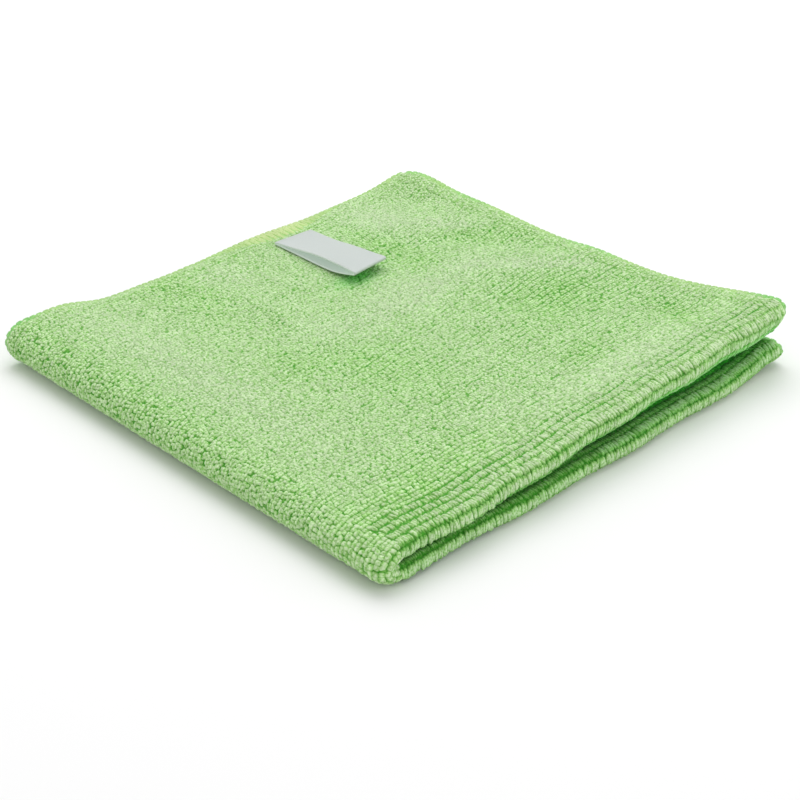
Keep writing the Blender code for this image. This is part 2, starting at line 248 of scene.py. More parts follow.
STITCH_PITCH = 2.8  # from one stitch of the overlock to the next
STITCH_DEPTH = 6.6  # from the edge to the needle's line
STITCH_WAY = (STITCH_DEPTH, 4.2, 2.4, 0.9)  # how far in the points of a thread's way are
THREADS = ((0.0, 0.38), (1.0, 0.62))  # where a stitch's two threads are at the needle and the rim
THREAD_JITTER = 0.15
THREAD = 0.9  # half the width of the overlock's soft thread
THREAD_HEIGHT = 0.3
THREAD_SPREAD = (0.85, 1.15)
THREAD_PALE = (0.5, 1.0, 1.0, 0.5)  # rise across it, which paints shade on its two sides, next to the cloth
RIM_SET_IN = 0.35  # how far inside the edge it turns round
RIM_PROUD = 0.12  # how much wider than the ground that turn is
RIM_TURN = ((0.75, 0.66), (0.0, 1.0), (-0.75, 0.66))  # up and out, three points of the turn
HEM_STEPS = 6  # grid steps from the edge that cover the overlock
LABEL_STEPS = 40  # points along each leaf of the label
LABEL_FOLD_STEPS = 9
LABEL_LINES = 19  # points across it

# Painted shade, a deep green tint where light is scarce: in the mouth, under the label and between
# the layers.
MOUTH_REACH = (1.5, 9.0)  # how far in from the small folds the mouth gets its painted shade, a deep green
MOUTH_LEAST = 0.22  # how much of it the lips have where they face each other
MOUTH_END = 7.0  # how far in from its end at the free edges the mouth has its full painted shade
MOUTH_FACING = (-0.2, 0.6)  # height of the normal, from outside to inside
LOWER_LIP_SHOWS = 4.0  # how much further in that is on the lower fold, which has more light
LABEL_SHADE = Form(-41.5, 19.5, 100, 9, 5, 0.75)  # the same green under the label
INNER_SHADE = 0.6  # how much of that painted shade the ground has between the layers

SEWN_SHADE = 0.3  # how much painted shade, a deeper green, the overlock has where the pile is close
SEWN_SHADE_FORMS = (  # where it has more of that painted shade
    Form(-98, -96, 90, 14, 12, 0.7),
    Form(-92, 99, 0, 16, 10, 0.55),
    Form(-58, 99, 0, 16, 10, 0.5),
    Form(6, 99, 0, 26, 8, 0.55),
    Form(92, 99, 0, 14, 12, 0.7),
)
BARE_FORM = Form(-98, 25, 90, 19, 14, 1.2)  # where the overlock shows

# How crisp the pile is, from 0 where it is felted to 1 where the loops stand apart.
CRISP = 0.58
FOLD_CRISP = 0.27  # how much crisper it is at the big fold
FOLD_CRISP_REACH = (6.0, 16.0)  # how far in from that fold this fades away
HIDDEN_CRISP = 0.85  # on every face but the top
PILE_FORMS = (
    Form(-76, 61, 0, 22, 11, -0.55),
    Form(-49, 76, 42, 14, 5, -0.7),
    Form(-4, 69, 42, 24, 5, -0.8),
    Form(-15, 22, 95, 34, 9, -0.7),
    Form(78, 30, 90, 36, 9, -0.5),
    Form(-28, -72, 0, 62, 9, -0.5),
    Form(-76, -15, 20, 12, 8, -0.35),
    Form(65, -22, 60, 12, 7, -0.3),
    Form(9, 84, 20, 10, 7, -0.3),
    Form(-19, -20, 90, 12, 8, -0.3),
    Form(-37, 78, 45, 22, 8, 0.45),
    Form(-45, 48, 20, 17, 8, 0.4),
    Form(22, 60, 115, 24, 17, 0.45),
    Form(66, 76, 160, 12, 7, 0.5),
    Form(62, 30, 100, 11, 7, 0.4),
    Form(20, -16, 10, 20, 8, 0.2),
    Form(-5, -43, 0, 12, 8, 0.35),
    Form(86, -80, 110, 40, 14, 0.5),
    Form(-50, 43, 0, 28, 8, 0.4),
    Form(-74, -36, 0, 24, 11, 0.35),
    Form(18, -28, 0, 32, 12, 0.3),
)
SEED = 11


# ---- Curves and blends ----
def through(at, stations, values):
    """A smooth curve through the values at the stations, read at each place in at."""
    stations = np.asarray(stations, float)
    values = np.asarray(values, float)
    slopes = np.gradient(values, stations, axis=0)
    here = np.clip(np.searchsorted(stations, at) - 1, 0, len(stations) - 2)
    span = stations[here + 1] - stations[here]
    f = np.clip((at - stations[here]) / span, 0, 1)
    if values.ndim == 2:  # one curve for each place
        own = np.arange(len(at))
        v0, v1 = values[here, own], values[here + 1, own]
        m0, m1 = slopes[here, own], slopes[here + 1, own]
    else:
        v0, v1, m0, m1 = values[here], values[here + 1], slopes[here], slopes[here + 1]
    ease = f * f * (3 - 2 * f)
    bend = f * (1 - f) * span
    return v0 + (v1 - v0) * ease + bend * ((1 - f) * m0 - f * m1)


def eased(value, low, high):
    """0 below low and 1 above high, with a soft step between them."""
    f = np.clip((value - low) / (high - low), 0, 1)
    return f * f * (3 - 2 * f)


def column(rows, name):
    return np.array([getattr(row, name) for row in rows])


def unit(vectors):
    return vectors / np.maximum(np.linalg.norm(vectors, axis=-1, keepdims=True), 1e-9)


def oval(form, x, y):
    """1 at the middle of a form, falling off softly to 0 around it."""
    turn = math.radians(form.degrees)
    dx, dy = x - form.x, y - form.y
    along = dx * math.cos(turn) + dy * math.sin(turn)
    across = dy * math.cos(turn) - dx * math.sin(turn)
    return np.exp(-((along / form.length) ** 2) - (across / form.width) ** 2)


def between(values, place):
    """Reads a table at places between its rows."""
    low = np.clip(place.astype(int), 0, len(values) - 2)
    share = (place - low).reshape((-1,) + (1,) * (values.ndim - 1))
    return values[low] * (1 - share) + values[low + 1] * share


def along_row(grid, places):
    """Reads each line of a grid of points at its own place between the grid's columns."""
    line = np.arange(len(grid))
    low = np.minimum(places.astype(int), grid.shape[1] - 2)
    share = (places - low)[:, None]
    return grid[line, low] * (1 - share) + grid[line, low + 1] * share


def run_length(points, axis=0):
    """Length along a line of points, from 0 at its start."""
    steps = np.linalg.norm(np.diff(points, axis=axis), axis=-1)
    start = np.zeros_like(np.take(steps, [0], axis=axis))
    return np.concatenate([start, np.cumsum(steps, axis=axis)], axis=axis)


# ---- The stack of four layers over a point of the ground ----
def of_mouth(name, y):
    return through(y, column(MOUTH, "y"), column(MOUTH, name))


def top_height(x, y):
    names = Section._fields[1:]
    stations = column(SECTIONS, "y")
    columns = np.array([through(y, stations, column(SECTIONS, n)) for n in names])
    height = through(x, COLUMN_X, columns)
    for form in FORMS:
        height = height + form.rise * oval(form, x, y)
    return height


def ground_lift(x, y):
    away = np.hypot(x - LIFTED_CORNER[0], y - LIFTED_CORNER[1])
    return CORNER_LIFT * (1 - eased(away, 0, CORNER_LIFT_REACH))


def inside_edge(x, y):
    """How far a point is inside the nearest free edge."""
    return np.minimum(x - FREE_X, FREE_Y - y)


def bareness(x, y):
    """1 beside the label, where the overlock shows, and 0 where the pile covers it."""
    return np.clip(BARE_FORM.rise * oval(BARE_FORM, x, y), 0, 1)


def under_pile(x, y):
    """0 at the hem, and 1 where the ground is at its thinnest under the pile."""
    end = BARE_HEM + LABEL_HEM * bareness(x, y)
    return eased(inside_edge(x, y), end, end + PILE_FULL)


def thickness(x, y):
    """Of the cloth, which is thinner towards its overlocked edges."""
    inside = inside_edge(x, y)
    hem = HEM_RIM + (HEM - HEM_RIM) * eased(inside, -1.0, RIM_WIDTH)
    return hem + (TERRY - HEM) * eased(inside, RIM_WIDTH, HEM_WIDTH)


def stack(x, y):
    """Heights of the middle of the face, lining, inlay and base layers."""
    x, y = np.broadcast_arrays(np.asarray(x, float), np.asarray(y, float))
    shape = x.shape
    x, y = x.ravel(), y.ravel()
    thick, lift = thickness(x, y), ground_lift(x, y)
    air = np.maximum(top_height(x, y) - lift - 4 * thick - 3 * LAYER_GAP, 0)
    at_folds = eased(x, *FOLD_ZONE)
    wander = SHARE_WANDER_X * np.sin(2 * math.pi * x / SHARE_WAVE_X)
    wander = wander + SHARE_WANDER_Y * np.sin(2 * math.pi * y / SHARE_WAVE_Y)
    in_upper, in_mouth = IN_UPPER + wander, IN_MOUTH - wander
    in_upper = in_upper + at_folds * (of_mouth("in_upper", y) - in_upper)
    in_mouth = in_mouth + at_folds * (of_mouth("in_mouth", y) - in_mouth)
    step = thick + LAYER_GAP
    base = lift + thick / 2
    inlay = base + step + air * (1 - in_upper - in_mouth)
    lining = inlay + step + air * in_mouth
    face = lining + step + air * in_upper
    heights = {"face": face, "lining": lining, "inlay": inlay, "base": base}
    return {name: z.reshape(shape) for name, z in heights.items()}


# ---- The folded sheet as a fine grid of points ----
LAYERS = (("face", "base"), ("lining", "inlay"))  # the outer two and the inner two


def free_edge(layer, along, side):
    """How far the layer's free edge lies from its mean place, at a point along that edge."""
    edge = next(e for e in EDGES if e.layer == layer)
    out = (edge.out_x if side == "x" else edge.out_y) - EDGE_DRAW
    return out + edge.wander * np.sin(2 * math.pi * along / EDGE_WAVE + edge.phase)


def run_stations(steps):
    """From 0 at a free edge to 1 at a fold, close together near both."""
    even = np.linspace(0, 1, steps + 1)
    return even - RUN_CROWDING / math.pi * np.sin(2 * math.pi * even)


def sheet_rows():
    """The stations down the cloth: (layer pair, share of the run or angle of the bend)."""
    run = run_stations(GRID_STEPS_Y)
    bend = np.radians(np.linspace(90, -90, GRID_BIG_FOLD_STEPS + 1)[1:-1])
    parts = (("upper", run), ("bend", bend), ("lower", run[::-1]))
    return [(kind, value) for kind, values in parts for value in values]


def outer_and_inner(row, x):
    """Points of the outer and the inner layer at this station, at the given x."""
    kind, value = row
    points = []
    for upper, lower in LAYERS:
        outer = upper == "face"
        bend_y = BIG_FOLD_Y + BIG_FOLD_DEPTH if outer else INNER_FOLD_Y
        if kind == "bend":
            ends = stack(x, bend_y)
            radius = (ends[upper] - ends[lower]) / 2
            y = bend_y - (BIG_FOLD_DEPTH if outer else radius) * math.cos(value)
            z = (ends[upper] + ends[lower]) / 2 + radius * math.sin(value)
        else:
            layer = upper if kind == "upper" else lower
            back = FREE_Y + free_edge(layer, x, "y")
            y = back + (bend_y - back) * value
            z = stack(x, y)[layer]
        points.append(np.stack(np.broadcast_arrays(x, y, z), axis=-1))
    return points


def fold_reach(row, y):
    """How far the small folds stand out at this station."""
    kind, value = row
    share = {"upper": 1.0, "lower": -1.0}.get(kind, math.sin(value))
    reaches = []
    for name, wave in (("upper_reach", UPPER_LIP_WAVE), ("lower_reach", LOWER_LIP_WAVE)):
        ripple = LIP_RIPPLE * math.sin(2 * math.pi * y / wave)
        reaches.append(of_mouth(name, np.array([y]))[0] + ripple)
    upper, lower = reaches
    return (upper + lower) / 2 + (upper - lower) / 2 * share


def sheet_line(row):
    """One line of the cloth's middle surface, from free edge to free edge across a small fold."""
    kind, value = row
    outer, inner = outer_and_inner(row, np.array(COLUMN_X[-1:]))
    radius = np.linalg.norm(outer[0] - inner[0]) / 2
    start = fold_reach(row, outer[0][1]) - TERRY / 2 - radius
    run = run_stations(GRID_STEPS_X)
    share = {"upper": 0.0, "lower": 1.0}.get(kind, 0.5 - 0.5 * math.sin(value))
    sides = []
    for index, (above, below) in enumerate(LAYERS):
        y = (outer, inner)[index][0][1]
        out = free_edge(above, y, "x") * (1 - share) + free_edge(below, y, "x") * share
        x = FREE_X - out + (start - FREE_X + out) * run
        sides.append(outer_and_inner(row, x)[index])
    face, lining = sides
    middle, arm = (face[-1] + lining[-1]) / 2, (face[-1] - lining[-1]) / 2
    lean = of_mouth("lean", np.array([face[-1][1]]))[0] if kind == "upper" else 0.0
    bend = []
    for angle in np.linspace(0, math.pi, GRID_FOLD_STEPS + 1)[1:-1]:
        out = np.linalg.norm(arm) * math.sin(angle)
        set_back = lean * math.sin(angle) * (1 - math.cos(angle)) / 2
        bend.append(middle + arm * math.cos(angle) + np.array([out - set_back, 0, 0]))
    return np.concatenate([face, bend, lining[::-1]])


def round_corners(grid):
    """Rounds the cloth's four corners in plan, where two free edges meet."""
    rows, columns = grid.shape[:2]
    for turned in (grid, grid[::-1], grid[:, ::-1], grid[::-1, ::-1]):
        quarter = turned[: rows // 2, : columns // 2, :2]
        centre = quarter[0, 0] + np.array([CORNER_ROUND, -CORNER_ROUND])
        away = (quarter - centre) * np.array([-1, 1])
        beyond = (away > 0).all(axis=-1)
        shrink = away.max(axis=-1) / np.maximum(np.linalg.norm(away, axis=-1), 1e-9)
        shrink = np.where(beyond, shrink, 1.0)[..., None]
        quarter[:] = centre + (quarter - centre) * shrink


Sheet = namedtuple("Sheet", "points normal half knit row_zone column_zone")


def folded_sheet():
    """The middle surface, its normal out of the outer face, and what lies on each side of it.

    half is from the middle to the solid's surface, and knit to the ground between the loops.
    """
    rows = sheet_rows()
    points = np.array([sheet_line(row) for row in rows])
    round_corners(points)
    normal = unit(np.cross(np.gradient(points, axis=0), np.gradient(points, axis=1)))
    x, y = points[..., 0], points[..., 1]
    half = thickness(x, y) / 2
    in_pile = under_pile(x, y)
    knit = (half - HEM_SKIN) * (1 - in_pile) + KNIT / 2 * in_pile
    row_zone = np.array([kind for kind, _ in rows])
    run = GRID_STEPS_X + 1
    column_zone = np.array(["outer"] * run + ["fold"] * (GRID_FOLD_STEPS - 1) + ["inner"] * run)
    return Sheet(points, normal, half, knit, row_zone, column_zone)


# ---- Meshes ----
def mesh_object(name, points, faces, values, finish):
    """A smooth mesh of quads, from points in millimetres, with named values at its points."""
    mesh = bpy.data.meshes.new(name)
    mesh.vertices.add(len(points))
    mesh.vertices.foreach_set("co", ((points - MIDDLE) * MM).astype(np.float32).ravel())
    mesh.loops.add(faces.size)
    mesh.loops.foreach_set("vertex_index", faces.astype(np.int32).ravel())
    mesh.polygons.add(len(faces))
    mesh.polygons.foreach_set("loop_start", np.arange(0, faces.size, 4, dtype=np.int32))
    for key, value in values.items():
        layer = mesh.attributes.new(key, "FLOAT", "POINT")
        layer.data.foreach_set("value", value.astype(np.float32).ravel())
    mesh.update(calc_edges=True)
    mesh.shade_smooth()
    mesh.materials.append(finish)
    obj = bpy.data.objects.new(name, mesh)
    bpy.context.scene.collection.objects.link(obj)
    return obj


def grid_faces(rows, columns):
    """Quads over a grid of points, turned so that their normals follow rows x columns."""
    index = np.arange(rows * columns).reshape(rows, columns)
    corners = (index[:-1, :-1], index[1:, :-1], index[1:, 1:], index[:-1, 1:])
    return np.stack([c.ravel() for c in corners], axis=1)


def shell_of(points, normal, half):
    """A closed shell round a grid: (points, quads)."""
    rows, columns = points.shape[:2]
    size = rows * columns
    over = points + normal * half[..., None]
    under = points - normal * half[..., None]
    front = grid_faces(rows, columns)
    index = np.arange(size).reshape(rows, columns)
    ring = np.concatenate([index[0, :-1], index[:-1, -1], index[-1, :0:-1], index[:0:-1, 0]])
    after = np.roll(ring, -1)
    rim = np.stack([ring, after, after + size, ring + size], axis=1)
    faces = np.concatenate([front, front[:, ::-1] + size, rim])
    return np.concatenate([over.reshape(-1, 3), under.reshape(-1, 3)]), faces


# ---- The pile ----
Row = namedtuple("Row", "place width kind")
Loops = namedtuple("Loops", "foot normal along across tall width pitch rib fine crisp zone layer")


def smooth_noise(rng, stations, length, count):
    """count smooth random curves over the stations, about 1 high, that wander within length."""
    knots = np.arange(stations.min() - length, stations.max() + 2 * length, length)
    heights = rng.normal(0, WANDER_SPREAD, (len(knots), count))
    here = np.clip(np.searchsorted(knots, stations) - 1, 0, len(knots) - 2)
    share = eased((stations - knots[here])[:, None], 0, length)
    return heights[here] * (1 - share) + heights[here + 1] * share


def row_places():
    """The rows, by length along the cloth from the middle of a small fold.

    Near the small folds each is one line of ribs, which goes over to a pair round the big fold.
    """
    rows = []
    middle = 0.0
    while middle < PAIR_END:
        ribbed = middle < RIB_END
        if ribbed:
            rows.append(Row(middle, FOLD_ROW_PITCH, "ribs"))
        for place in (middle - PAIR_GAP / 2, middle + PAIR_GAP / 2):
            rows.append(Row(place, FOLD_ROW_PITCH / 2, "beads" if ribbed else "all"))
        middle += FOLD_ROW_PITCH
    on_the_fold = 3  # the first rib and its pair, which the other side doesn't repeat
    middle += (ROW_PITCH - FOLD_ROW_PITCH) / 2
    while middle < FLAT_SIDE / 2 + ROW_SKEW * FLAT_SIDE / 2:
        rows.append(Row(middle, ROW_PITCH, "plain"))
        for place in (middle - BEAD_GAP / 2, middle + BEAD_GAP / 2):
            rows.append(Row(place, ROW_PITCH / 2, "fine"))
        middle += ROW_PITCH
    return [row._replace(place=-row.place) for row in rows[: on_the_fold - 1 : -1]] + rows


def pile_start(x, y):
    """How far inside the edge the first loops stand."""
    return PILE_START + (BARE_HEM + LABEL_HEM - PILE_START) * bareness(x, y)


def crispness(x, y):
    """1 where the loops stand apart and 0 where they lie felted together."""
    crisp = CRISP + FOLD_CRISP * (1 - eased(y - BIG_FOLD_Y, *FOLD_CRISP_REACH))
    for form in PILE_FORMS:
        crisp = crisp + form.rise * oval(form, x, y)
    return np.clip(crisp, 0, 1)


def painted_shade(points, facing, zone, layer):
    """Painted shade: 0 in full light, and 1 where the mouth is deepest. facing is the height of
    the normal.
    """
    x, y = points[..., 0], points[..., 1]
    turned_in = np.where(zone == "upper", -facing, facing)
    inside = np.where(zone == "bend", 0.0, eased(turned_in, *MOUTH_FACING))
    inside = inside * eased(FREE_Y - y, 0, MOUTH_END)
    reach = FOLDED_SIDE / 2 - x - np.where(zone == "lower", LOWER_LIP_SHOWS, 0.0)
    mouth = inside * (MOUTH_LEAST + (1 - MOUTH_LEAST) * eased(reach, *MOUTH_REACH))
    under_label_shade = np.where(zone == "upper", LABEL_SHADE.rise * oval(LABEL_SHADE, x, y), 0.0)
    return np.where(layer == "outer", under_label_shade, mouth)


def lay_loops(sheet, side, rng):
    """Where every loop of one face of the cloth stands: side is 1 on its outer face."""
    rows, columns = sheet.points.shape[:2]
    line = np.arange(rows)
    ground = sheet.points + side * sheet.normal * sheet.knit[..., None]
    travelled = run_length(ground, axis=1)
    fold = travelled[:, columns // 2]
    middle = ground[:, columns // 4]  # the line down the middle of the outer layers
    laid = row_places()
    places = column(laid, "place")
    skew = 1 - eased(FOLDED_SIDE / 2 + places, *STRAIGHTENED)
    skew = ROW_SKEW * np.where(places < 0, skew, 0)
    wanted = fold[:, None] + places - skew * (middle[:, 1:2] - SKEW_HEIGHT)
    down = run_length(middle)
    for wander, count in ((ROW_WANDER, len(laid)), (FIELD_WANDER, 1)):
        wanted = wanted + wander.far * smooth_noise(rng, down, wander.length, count)
    at = np.array([np.interp(wanted[i], travelled[i], np.arange(columns)) for i in line])
    margins = np.minimum(wanted, travelled[:, -1:] - wanted)
    found = []
    for k, row in enumerate(laid):
        feet = along_row(ground, at[:, k])
        length = run_length(feet)
        pitch = PITCHES[row.kind]
        stands = np.arange(PILE_START, length[-1] - PILE_START, pitch)
        stands = stands + rng.uniform(-LOOP_JITTER, LOOP_JITTER, len(stands))
        stands = stands + rng.uniform(0, pitch)
        place = np.interp(stands, length, line)
        margin = np.minimum(margins[:, k], np.minimum(length, length[-1] - length))
        margin = margin - pile_start(feet[:, 0], feet[:, 1])
        place = place[np.interp(place, line, margin) > 0]
        outer = side > 0 and row.place < 0
        if row.kind in ("ribs", "beads"):
            ribbed = np.interp(place, line, feet[:, 1]) > RIB_FOOT_Y
            place = place[ribbed == (row.kind == "ribs")]
        if row.kind in ("fine", "plain"):
            shows = (sheet.row_zone[np.rint(place).astype(int)] != "lower") & outer
            place = place[shows == (row.kind == "fine")]
        spot = between(feet, place)
        missed = MISSED * crispness(spot[:, 0], spot[:, 1]) ** 2 * (row.kind == "fine")
        place = place[rng.random(len(place)) > missed]
        foot = between(feet, place)
        normal = unit(between(along_row(side * sheet.normal, at[:, k]), place))
        along = between(np.gradient(feet, axis=0), place)
        along = unit(along - normal * (along * normal).sum(axis=1, keepdims=True))
        tall = along_row((sheet.half - sheet.knit)[..., None], at[:, k])
        tall = np.maximum(between(tall, place)[:, 0], LEAST_TALL)
        of_row = (row.width, pitch, row.kind == "ribs", row.kind == "fine")
        of_row = [np.full(len(place), float(value)) for value in of_row]
        near = np.rint(place).astype(int)
        zone = sheet.row_zone[near]
        layer = sheet.column_zone[np.rint(at[near, k]).astype(int)]
        on_top = (zone == "upper") & outer
        crisp = np.where(on_top, crispness(foot[:, 0], foot[:, 1]), HIDDEN_CRISP)
        across = np.cross(along, normal)
        found.append((foot, normal, along, across, tall, *of_row, crisp, zone, layer))
    return Loops(*(np.concatenate(values) for values in zip(*found)))


def strands(path, outward, wide, high, around):
    """Points and quads of half-round yarn along each path, open on the side away from outward."""
    ahead = unit(np.gradient(path, axis=1))
    side = unit(np.cross(ahead, outward))
    angle = np.radians(np.linspace(*YARN_ROUND, around))
    sideways = (wide[..., None] * np.cos(angle))[..., None] * side[:, :, None]
    upwards = (high[..., None] * np.sin(angle))[..., None] * outward[:, :, None]
    points = path[:, :, None] + sideways + upwards
    index = np.arange(points.size // 3).reshape(points.shape[:3])
    corners = (index[:, :-1, :-1], index[:, 1:, :-1], index[:, 1:, 1:], index[:, :-1, 1:])
    return points, np.stack([c.ravel() for c in corners], axis=1)


def arches(loops, rng, rings, around, paleness):
    """Points, quads and shading values of one small arch of yarn for each loop."""
    count = len(loops.tall)
    turn = np.linspace(0, math.pi, rings)[None, :]
    up, out = np.sin(turn), -np.cos(turn)

    def each(low, high):
        return rng.uniform(low, high, count)[:, None]

    rib, fine, felted = loops.rib[:, None], loops.fine[:, None], 1 - loops.crisp[:, None]
    loose = 1 - RIB_ORDER * rib
    tall = TALL + each(*TALL_SPREAD) * (1 - FELTED_CALM * felted)
    tall = loops.tall[:, None] * tall
    span = loops.width[:, None] * each(*SPAN) * (CRISP_SPAN + FELTED_SPAN * felted)
    span = span * (1 - RIB_SHORTER * rib - FINE_SHORTER * fine)
    wide = each(*WIDE) * (CRISP_WIDE + FELTED_WIDE * felted - RIB_NARROWER * rib)
    wide = loops.pitch[:, None] * wide * (FOOT_WIDE + (1 - FOOT_WIDE) * up)
    high = YARN * each(*HIGH) * (FOOT_HIGH + (1 - FOOT_HIGH) * up)
    aslant = span * out * each(-ASLANT, ASLANT) * loose + each(-LEAN, LEAN) * loose * up
    sideways = span * out + each(-SIDE_LEAN, SIDE_LEAN) * loose * up
    sideways = sideways + each(-FELTED_SHIFT, FELTED_SHIFT) * felted * (1 - rib)
    sideways = sideways + each(-RIB_SHIFT, RIB_SHIFT) * rib
    crown = up ** (CROWN - RIB_CROWN * rib)
    raised = np.maximum(tall - YARN, LEAST_RISE) * crown - FOOT_DEPTH * (1 - crown)
    foot, normal, across = (part[:, None] for part in (loops.foot, loops.normal, loops.across))
    path = foot + across * sideways[..., None] + normal * raised[..., None]
    path = path + loops.along[:, None] * aslant[..., None]
    outward = across * (FACING_OUT * out)[..., None] + normal * (FACING_UP + up)[..., None]
    points, faces = strands(path, unit(outward), wide, high, around)
    # rise paints shade low in each loop and light at its tip; felted and fine loops are painted
    # paler
    rise = ((points - foot[:, None]) * normal[:, None]).sum(axis=-1) / tall[..., None]
    rise = np.clip(rise, 0, 1)
    rise = rise + (FELTED_PALE * felted + FINE_PALE * fine)[..., None] * (1 - rise)
    tone = rng.uniform(-1, 1, count)
    tone = tone - RIB_TONE * loops.rib * eased(loops.normal[:, 2], *TOP_FACING)
    tone = tone + CRISP_TONE * (loops.crisp - EVEN_CRISP) * (1 - loops.rib)
    # painted shade in the mouth and under the label
    deep = painted_shade(loops.foot, loops.normal[:, 2], loops.zone, loops.layer)
    points[..., 2] = np.maximum(points[..., 2], 0.0)
    values = {
        "rise": rise * paleness,
        "tone": np.broadcast_to(tone[:, None, None], rise.shape),
        "deep": np.broadcast_to(deep[:, None, None], rise.shape),
    }
    return points.reshape(-1, 3), faces, values


def build_pile(sheet, finish):
    rng = np.random.default_rng(SEED)
    outer = lay_loops(sheet, 1, rng)
    inner = lay_loops(sheet, -1, rng)
    x = outer.foot[:, 0]
    from_edge = inside_edge(x, outer.foot[:, 1])
    flat = outer.zone != "bend"
    top = (outer.zone == "upper") & (outer.layer == "outer")
    below = (outer.zone == "lower") & (outer.layer == "outer")
    small_folds = (outer.layer == "fold") & flat
    big_fold = (outer.zone == "bend") & (outer.layer != "inner")
    mouth = (outer.layer == "inner") & flat & (x > FOLDED_SIDE / 2 - MOUTH_DEPTH)
    hidden = (outer.layer == "inner") & flat & ~mouth & (from_edge < EDGE_DEPTH)
    within = inside_edge(inner.foot[:, 0], inner.foot[:, 1]) < EDGE_DEPTH
    within = within & (inner.zone != "bend") & (inner.layer != "fold")
    pieces = []
    # rings and around are the points along an arch and round its yarn.
    # paleness scales rise, so the pieces in the mouth, underneath and between the layers get more
    # painted shade
    for name, loops, keep, rings, around, paleness in (
        ("pile_top_label_side", outer, top & (x < -TOP_PART), 4, 4, 1.0),
        ("pile_top_middle", outer, top & (x >= -TOP_PART) & (x < TOP_PART), 4, 4, 1.0),
        ("pile_top_fold_side", outer, top & (x >= TOP_PART), 4, 4, 1.0),
        ("pile_big_fold", outer, big_fold, 5, 4, 1.0),
        ("pile_small_folds", outer, small_folds, 7, 4, 1.0),
        ("pile_mouth", outer, mouth, 4, 3, 0.9),
        ("pile_underside", outer, below, 3, 3, 0.9),
        ("pile_between_layers", outer, hidden, 3, 3, 0.8),
        ("pile_inner_face", inner, within, 3, 3, 0.8),
    ):
        kept = Loops(*(values[keep] for values in loops))
        piece = mesh_object(name, *arches(kept, rng, rings, around, paleness), finish)
        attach(piece, "root")
        pieces.append(piece)
    return pieces


# ---- The overlock ----
def at_depth(table, deep, depths):
    """Reads a table of inward lines, each at its own row of depths."""
    line = np.arange(table.shape[1])
    return np.array([between(v, np.interp(w, d, line)) for v, d, w in zip(table, deep, depths)])


def fanned(table):
    """The first steps inwards from each point of an edge, turned to the diagonal at its ends."""
    last = len(table) - 1
    line = np.arange(last + 1)
    turn = np.maximum(1 - line / HEM_STEPS, 0) - np.maximum(1 - (last - line) / HEM_STEPS, 0)
    steps = [between(table[:, step], line + step * turn) for step in range(HEM_STEPS)]
    return np.stack(steps, axis=1)


def hem_sides(sheet):
    """The cloth's four edges as lines that start at the edge and go inwards."""
    tables = (sheet.points, sheet.normal, sheet.knit)
    for end in (1, -1):
        yield [fanned(table[::end].swapaxes(0, 1)) for table in tables]
    for end in (1, -1):
        yield [fanned(table[:, ::end]) for table in tables]


def over_edge(lines, normals, skin, stands):
    """The way over the edge at each of these lengths along it: (points, outward directions)."""
    length = run_length(lines[:, 0])
    place = np.interp(stands, length, np.arange(len(length)))
    line, normal, skin = between(lines, place), between(normals, place), between(skin, place)
    deep = run_length(line, axis=1)
    wider = 1 + LABEL_HEM / STITCH_DEPTH * bareness(line[:, 0, 0], line[:, 0, 1])[:, None]
    depths = np.array(STITCH_WAY) * wider
    over = at_depth(line, deep, depths)
    up = unit(at_depth(normal, deep, depths))
    proud = at_depth(skin[..., None], deep, depths)
    rim, rim_up = line[:, :1], unit(normal[:, :1])
    inwards = unit(line[:, 1:2] - rim)
    radius = skin[:, :1, None] + RIM_PROUD
    turns = [up_by * rim_up - out_by * inwards for up_by, out_by in RIM_TURN]
    bend = [rim + inwards * RIM_SET_IN + radius * turn for turn in turns]
    path = np.concatenate([over + up * proud, *bend, (over - up * proud)[:, ::-1]], axis=1)
    outward = np.concatenate([up, *(unit(turn) for turn in turns), -up[:, ::-1]], axis=1)
    return path, outward


def sew_side(lines, normals, skin, rng):
    """The threads over one edge, as (paths, outward directions) of equal length."""
    stands = np.arange(STITCH_PITCH / 4, run_length(lines[:, 0])[-1], STITCH_PITCH)
    stands = stands + rng.uniform(-THREAD_JITTER, THREAD_JITTER, len(stands))
    share = np.linspace(0, 1, len(STITCH_WAY) + 1)
    share = np.concatenate([share[:-1], np.ones(len(RIM_TURN)), share[-2::-1]])[None, :, None]
    paths, outwards = [], []
    for start, end in THREADS:
        path, outward = over_edge(lines, normals, skin, stands + start * STITCH_PITCH)
        beyond, beyond_outward = over_edge(lines, normals, skin, stands + end * STITCH_PITCH)
        paths.append(path + (beyond - path) * share)
        outwards.append(unit(outward + (beyond_outward - outward) * share))
    return np.concatenate(paths), np.concatenate(outwards)


def build_overlock(sheet, finish):
    rng = np.random.default_rng(SEED + 1)
    sides = [sew_side(*side, rng) for side in hem_sides(sheet)]
    path, outward = (np.concatenate(part) for part in zip(*sides))
    size = path.shape[:2]
    wide = np.broadcast_to(THREAD * rng.uniform(*THREAD_SPREAD, (size[0], 1)), size)
    high = np.broadcast_to(THREAD_HEIGHT * rng.uniform(*THREAD_SPREAD, (size[0], 1)), size)
    points, faces = strands(path, outward, wide, high, len(THREAD_PALE))
    x, y = points[..., 0], points[..., 1]
    # painted shade on the overlock, in the listed forms and where the pile is close
    deep = sum(form.rise * oval(form, x, y) for form in SEWN_SHADE_FORMS)
    tone = rng.uniform(-1, 1, size[0])[:, None, None]
    values = {
        "rise": np.broadcast_to(THREAD_PALE, x.shape),
        "tone": np.broadcast_to(tone, x.shape),
        "deep": np.maximum(deep, SEWN_SHADE * (1 - bareness(x, y))),
    }
    points[..., 2] = np.maximum(points[..., 2], 0.0)
    piece = mesh_object("overlock", points.reshape(-1, 3), faces, values, finish)
    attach(piece, "root")
    return piece


